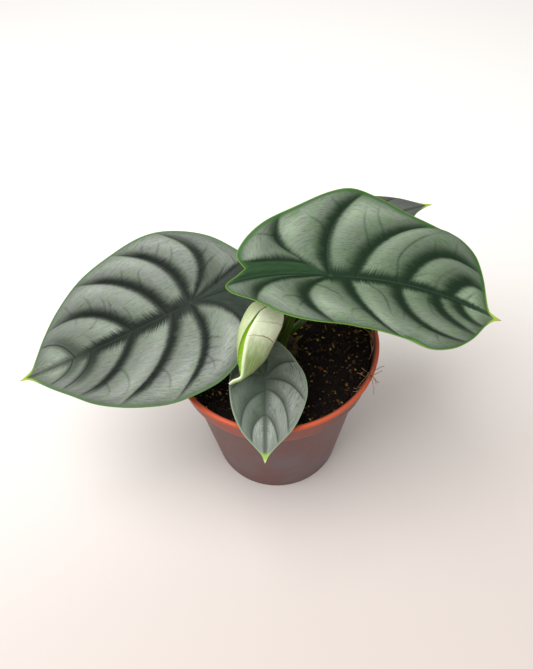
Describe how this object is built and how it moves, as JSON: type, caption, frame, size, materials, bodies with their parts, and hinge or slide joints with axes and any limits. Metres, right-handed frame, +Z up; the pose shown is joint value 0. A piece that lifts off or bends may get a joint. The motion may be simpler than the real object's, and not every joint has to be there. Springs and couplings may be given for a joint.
{
  "type": "potted silver dragon alocasia",
  "caption": "Small aroid house plant with thick silver-green, dark-veined leaves and one leaf still rolled, growing in soil in a round thin plastic nursery pot.",
  "frame": {"origin": "middle of the pot's flat base, on the surface that the pot stands on", "axes": "+Z up along the pot's axis; the two large leaves reach out along -X and +X; the small front leaf hangs over -Y"},
  "size_m": [0.2625, 0.1545, 0.1834],
  "materials": {
    "pot_plastic": "thin terracotta-orange moulded plastic, satin",
    "soil": "dark moist potting mix with fibres and bits of bark, fully rough",
    "corm": "fibrous brown skin, dull",
    "scale_leaf": "papery olive scale, dull",
    "stalk": "smooth fleshy olive-green stalk, soft sheen",
    "large_blade": "thick leathery silver-green blade with sunken dark green veins, soft sheen",
    "small_blade": "thick leathery grey-green blade with fine dark veins, soft sheen",
    "new_blade": "smooth cream-green young leaf, satin"
  },
  "bodies": {
    "root": {"pot": "pot_plastic", "soil": "soil", "corm": "corm", "scale_leaf": "scale_leaf", "stalk_right": "stalk", "stalk_left": "stalk", "stalk_front": "stalk", "stalk_back": "stalk", "stalk_new": "stalk", "blade_right": "large_blade", "blade_left": "large_blade", "blade_front": "small_blade", "blade_back": "small_blade", "blade_new": "new_blade"}
  },
  "joints": []
}
